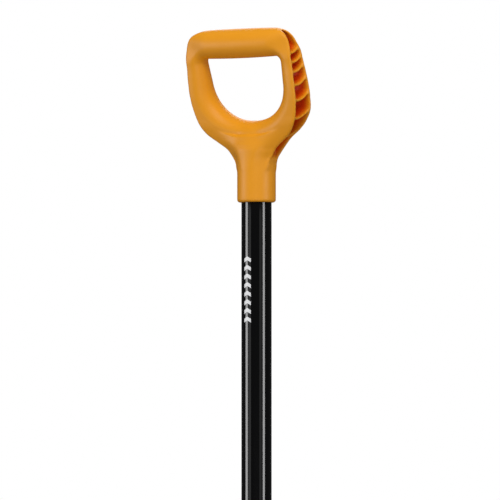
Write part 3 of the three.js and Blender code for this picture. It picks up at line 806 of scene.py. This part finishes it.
class FORK_OT_treads(bpy.types.Operator):
    """Cut the two treads that the boot presses on"""

    bl_idname = "fork.treads"
    bl_label = "Treads"

    def execute(self, context):
        inner, outer, deep, thick, corner = 46 * MM, 93 * MM, 26 * MM, 3.5 * MM, 6 * MM
        place = Matrix.Translation((-(inner + outer) / 2, 0, BAR_HALF + GAP))
        piece = start_section((outer - inner) / 2, deep / 2, corner, place, segments=8)
        extrude(0, 0, thick)
        outward()
        add_modifier(piece, "BEVEL", width=context.scene.fork_sizes.tread_bevel, segments=4,
                     limit_method="ANGLE", angle_limit=radians(60))
        piece.data.transform(HEAD)
        hand_over(piece, "left_tread_pressed", "head_coating", "left_tread", smooth=30)
        mirrored_copy(piece, "right_tread_pressed", "right_tread", smooth=30)
        return {"FINISHED"}


class FORK_OT_braces(bpy.types.Operator):
    """Cut the braces in the corners between socket and crossbar"""

    bl_idname = "fork.braces"
    bl_label = "Braces"

    def execute(self, context):
        low, height, thick = BAR_HALF + GAP, 30 * MM, 5 * MM
        foot, bow, head, weld_room = 44 * MM, 31 * MM, 19.4 * MM, 5 * MM
        t = np.linspace(0, 1, 13)
        across = (1 - t) ** 2 * foot + 2 * t * (1 - t) * bow + t ** 2 * head
        up = 2 * t * (1 - t) * height * 0.2 + t ** 2 * height
        # The hollow curve outside, then back down beside the socket and round its weld.
        outline = list(zip(across, up)) + [(23.2 * MM, 9 * MM), (25.6 * MM, weld_room),
                                           (bow, weld_room), (bow, 0)]
        mesh = bmesh.new()
        mesh.faces.new([mesh.verts.new((-x, -thick / 2, low + z)) for x, z in outline])
        data = bpy.data.meshes.new("brace_side")
        mesh.to_mesh(data)
        mesh.free()
        piece = bpy.data.objects.new("brace_side", data)
        context.scene.collection.objects.link(piece)
        select_only(piece)
        bpy.ops.object.mode_set(mode="EDIT")
        bpy.ops.mesh.select_all(action="SELECT")
        extrude(0, thick, 0)
        outward()
        add_modifier(piece, "BEVEL", width=0.7 * MM, segments=3, limit_method="ANGLE",
                     angle_limit=radians(60))
        piece.data.transform(HEAD)
        hand_over(piece, "left_brace_cut", "head_coating", "left_brace", smooth=30)
        mirrored_copy(piece, "right_brace_cut", "right_brace", smooth=30)
        return {"FINISHED"}


def weld_bead(name, node, half_wide, half_deep, corner, size, place):
    """A bead laid round a joint, with the ripples of its runs."""
    ripple, ripple_depth, out = 2.2 * MM, 0.010, size * 0.45
    start_section(half_wide + out, half_deep + out, corner, Matrix(), segments=12)
    bpy.ops.mesh.delete(type="ONLY_FACE")
    bpy.ops.mesh.select_all(action="SELECT")
    bpy.ops.mesh.subdivide(number_cuts=3)
    bpy.ops.object.mode_set(mode="OBJECT")
    bpy.ops.object.convert(target="CURVE")
    piece = bpy.context.object
    piece.data.bevel_depth = size
    piece.data.bevel_resolution = 4
    piece.data.use_fill_caps = True
    bpy.ops.object.convert(target="MESH")
    piece = bpy.context.object
    for vertex in piece.data.vertices:
        run = atan2(vertex.co.y, vertex.co.x) * (half_wide + half_deep) / 2
        swell = 1 + ripple_depth * sin(2 * pi * run / ripple)
        vertex.co.x *= swell
        vertex.co.y *= swell
    bpy.ops.object.mode_set(mode="EDIT")
    bpy.ops.mesh.select_all(action="SELECT")
    bpy.ops.mesh.remove_doubles(threshold=0.00001)
    outward()
    piece.data.transform(place)
    hand_over(piece, name, "head_coating", node, smooth=60)
    return piece


class FORK_OT_welds(bpy.types.Operator):
    """Lay the weld beads of the shaft, the socket's foot and the tines"""

    bl_idname = "fork.welds"
    bl_label = "Welds"

    def execute(self, context):
        size = 1.8 * MM
        low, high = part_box("shaft_weld")
        weld_bead("shaft_weld_laid", "shaft_weld", TUBE_RADIUS, TUBE_RADIUS, TUBE_RADIUS, size,
                  Matrix.Translation((0, AXIS_Y, (low.z + high.z) / 2)))
        weld_bead("socket_weld_laid", "socket_weld", FOOT_HALF, FOOT_HALF_DEEP, 9 * MM, size,
                  HEAD @ Matrix.Translation((0, 0, BAR_HALF + GAP + size)))
        for kind, x, z in (("outer", -1.5 * PITCH, -CORNER_RADIUS - STUB),
                           ("inner", -0.5 * PITCH, -BAR_HALF - GAP - size)):
            piece = weld_bead(f"left_{kind}_tine_weld_laid", f"left_{kind}_tine_weld", TINE_HALF,
                              TINE_HALF_DEEP, EDGE, size * 0.8,
                              HEAD @ Matrix.Translation((x, 0, z)))
            mirrored_copy(piece, f"right_{kind}_tine_weld_laid", f"right_{kind}_tine_weld", smooth=60)
        return {"FINISHED"}


# ------------------------------------------------------------------ stage
VIEW_AZIMUTH, VIEW_RISE, VIEW_DISTANCE = 34, -2.2, 8.0  # degrees, degrees, metres
VIEW_WIDTH = 529.8 * MM  # how much of the tool's height and width the view takes in
AIM_DROP, AIM_LEFT, LIT_DROP = 50.4 * MM, 6.9 * MM, 30 * MM  # below the collar, and beside it
SENSOR = 36
FLOOR_LOW = 0.5 * MM  # the floor lies just clear of the tine points


def away(turn, rise):
    """A direction out from the tool, in degrees round and up from the camera's side of it."""
    azimuth, rise = radians(VIEW_AZIMUTH) + radians(turn), radians(rise)
    return Vector((sin(azimuth) * cos(rise), -cos(azimuth) * cos(rise), sin(rise)))


def facing_back(direction):
    """The turn of a lamp or camera that stands in a direction and looks back along it."""
    return (-direction).to_track_quat("-Z", "Y").to_euler()


def soft_light(name, turn, rise, distance, width, height, energy, gloss_only=False):
    """A soft rectangular light, placed by its direction from the camera's side of the tool."""
    lit = Vector((0, AXIS_Y, COLLAR_Z - LIT_DROP))
    deselect()
    bpy.ops.object.light_add(type="AREA", location=lit + away(turn, rise) * distance)
    light = bpy.context.object
    light.name = name
    light.data.shape = "RECTANGLE"
    light.data.size, light.data.size_y = width, height
    light.data.energy = energy
    light.rotation_euler = facing_back(away(turn, rise))
    light.visible_camera = False
    light.visible_diffuse = not gloss_only
    return light


def lay_floor():
    """A pale floor that doesn't throw light or reflections back at the tool."""
    deselect()
    bpy.ops.mesh.primitive_plane_add(size=60, location=(0, 0, -FLOOR_LOW))
    floor = bpy.context.object
    floor.name = "floor"
    material, g = new_material("floor_paper")
    paper = g.blend(g.noise(3, 3), colour((0.80, 0.80, 0.80)), colour((0.84, 0.84, 0.84)))
    g.surface(Base_Color=paper, Roughness=0.9, Specular_IOR_Level=0.0)
    floor.data.materials.append(material)
    floor.visible_diffuse = floor.visible_glossy = False
    return floor


def light_floor(floor):
    """A soft sun that lights only the floor, and casts the tool's shadow on it."""
    deselect()
    bpy.ops.object.light_add(type="SUN", rotation=(radians(18), radians(-12), 0))
    wash = bpy.context.object
    wash.name = "floor_wash"
    wash.data.energy, wash.data.angle = 1.6, radians(22)
    washed = bpy.data.collections.new("floor_only")
    washed.objects.link(floor)
    wash.light_linking.receiver_collection = washed


def surround(scene):
    """An even surround: white to the camera, soft to the tool, and nearly dark to its gloss."""
    world = bpy.data.worlds.new("studio")
    scene.world = world
    world.use_nodes = True
    g = Graph(world.node_tree)
    seen = g.node("ShaderNodeLightPath", {}, out="Is Camera Ray")
    mirrored = g.node("ShaderNodeLightPath", {}, out="Is Glossy Ray")
    level = g.blend(mirrored, colour((0.44, 0.44, 0.44)), colour((0.05, 0.05, 0.05)))
    shade = g.node("ShaderNodeBackground", {}, g.blend(seen, level, colour((1, 1, 1))), 1.0)
    output = world.node_tree.nodes.new("ShaderNodeOutputWorld")
    world.node_tree.links.new(shade.socket, output.inputs["Surface"])


def light_tool(floor):
    """What the gloss tube mirrors, and three soft boxes that leave the floor out."""
    soft_light("left_strip", -81, 0, 2.2, 0.80, 0.90, 16.5, gloss_only=True)
    soft_light("right_strip", 57.5, 0, 2.2, 0.62, 0.90, 14.5, gloss_only=True)
    soft_light("left_card", -54, 0, 2.6, 0.90, 0.90, 1.7, gloss_only=True)
    soft_light("right_card", 31, 0, 2.6, 0.80, 0.90, 0.9, gloss_only=True)
    boxes = (soft_light("key_softbox", -4, 38, 2.8, 2.4, 1.5, 46),
             soft_light("top_softbox", 0, 86, 4.0, 4.0, 4.0, 12),
             soft_light("back_softbox", 168, 34, 3.0, 2.0, 1.5, 22))
    soft_light("low_card", 0, -18, 2.6, 1.8, 0.5, 15, gloss_only=True)
    all_but_floor = bpy.data.collections.new("all_but_floor")
    all_but_floor.objects.link(floor)
    all_but_floor.collection_objects[0].light_linking.link_state = "EXCLUDE"
    for box in boxes:
        box.light_linking.receiver_collection = all_but_floor


def set_camera(scene):
    direction = away(0, VIEW_RISE)
    right = Vector((cos(radians(VIEW_AZIMUTH)), sin(radians(VIEW_AZIMUTH)), 0))
    aim = Vector((0, AXIS_Y, COLLAR_Z - AIM_DROP)) - right * AIM_LEFT
    bpy.ops.object.camera_add(location=aim + direction * VIEW_DISTANCE)
    camera = bpy.context.object
    camera.rotation_euler = facing_back(direction)
    camera.data.sensor_width = SENSOR
    camera.data.lens = SENSOR * VIEW_DISTANCE / VIEW_WIDTH
    scene.camera = camera


class FORK_OT_stage(bpy.types.Operator):
    """Set the pale floor, the soft lights and the camera"""

    bl_idname = "fork.stage"
    bl_label = "Stage"

    def execute(self, context):
        context.scene.view_settings.view_transform = "Standard"
        floor = lay_floor()
        light_floor(floor)
        surround(context.scene)
        light_tool(floor)
        set_camera(context.scene)
        return {"FINISHED"}


# ------------------------------------------------------------------ panel and registration
class FORK_PT_panel(bpy.types.Panel):
    """Lists the fork's pieces"""

    bl_idname = "FORK_PT_panel"
    bl_label = "Digging fork"
    bl_space_type = "VIEW_3D"
    bl_region_type = "UI"
    bl_category = "Fork"

    def draw(self, context):
        for group in (context.scene.fork_sizes, context.scene.fork_finishes):
            for name in group.__annotations__:
                self.layout.prop(group, name)
        for piece in PIECES:
            self.layout.operator(piece.bl_idname)


PIECES = (FORK_OT_stage, FORK_OT_grip, FORK_OT_screw, FORK_OT_shaft, FORK_OT_socket, FORK_OT_crossbar,
          FORK_OT_tines, FORK_OT_treads, FORK_OT_braces, FORK_OT_welds)
CLASSES = (ForkSizes, ForkFinishes, *PIECES, FORK_PT_panel)


def register():
    for cls in CLASSES:
        bpy.utils.register_class(cls)
    bpy.types.Scene.fork_sizes = bpy.props.PointerProperty(type=ForkSizes)
    bpy.types.Scene.fork_finishes = bpy.props.PointerProperty(type=ForkFinishes)


def unregister():
    del bpy.types.Scene.fork_finishes
    del bpy.types.Scene.fork_sizes
    for cls in reversed(CLASSES):
        bpy.utils.unregister_class(cls)


def main():
    register()
    for piece in PIECES:
        group, name = piece.bl_idname.split(".")
        getattr(getattr(bpy.ops, group), name)()


if __name__ == "__main__":
    main()
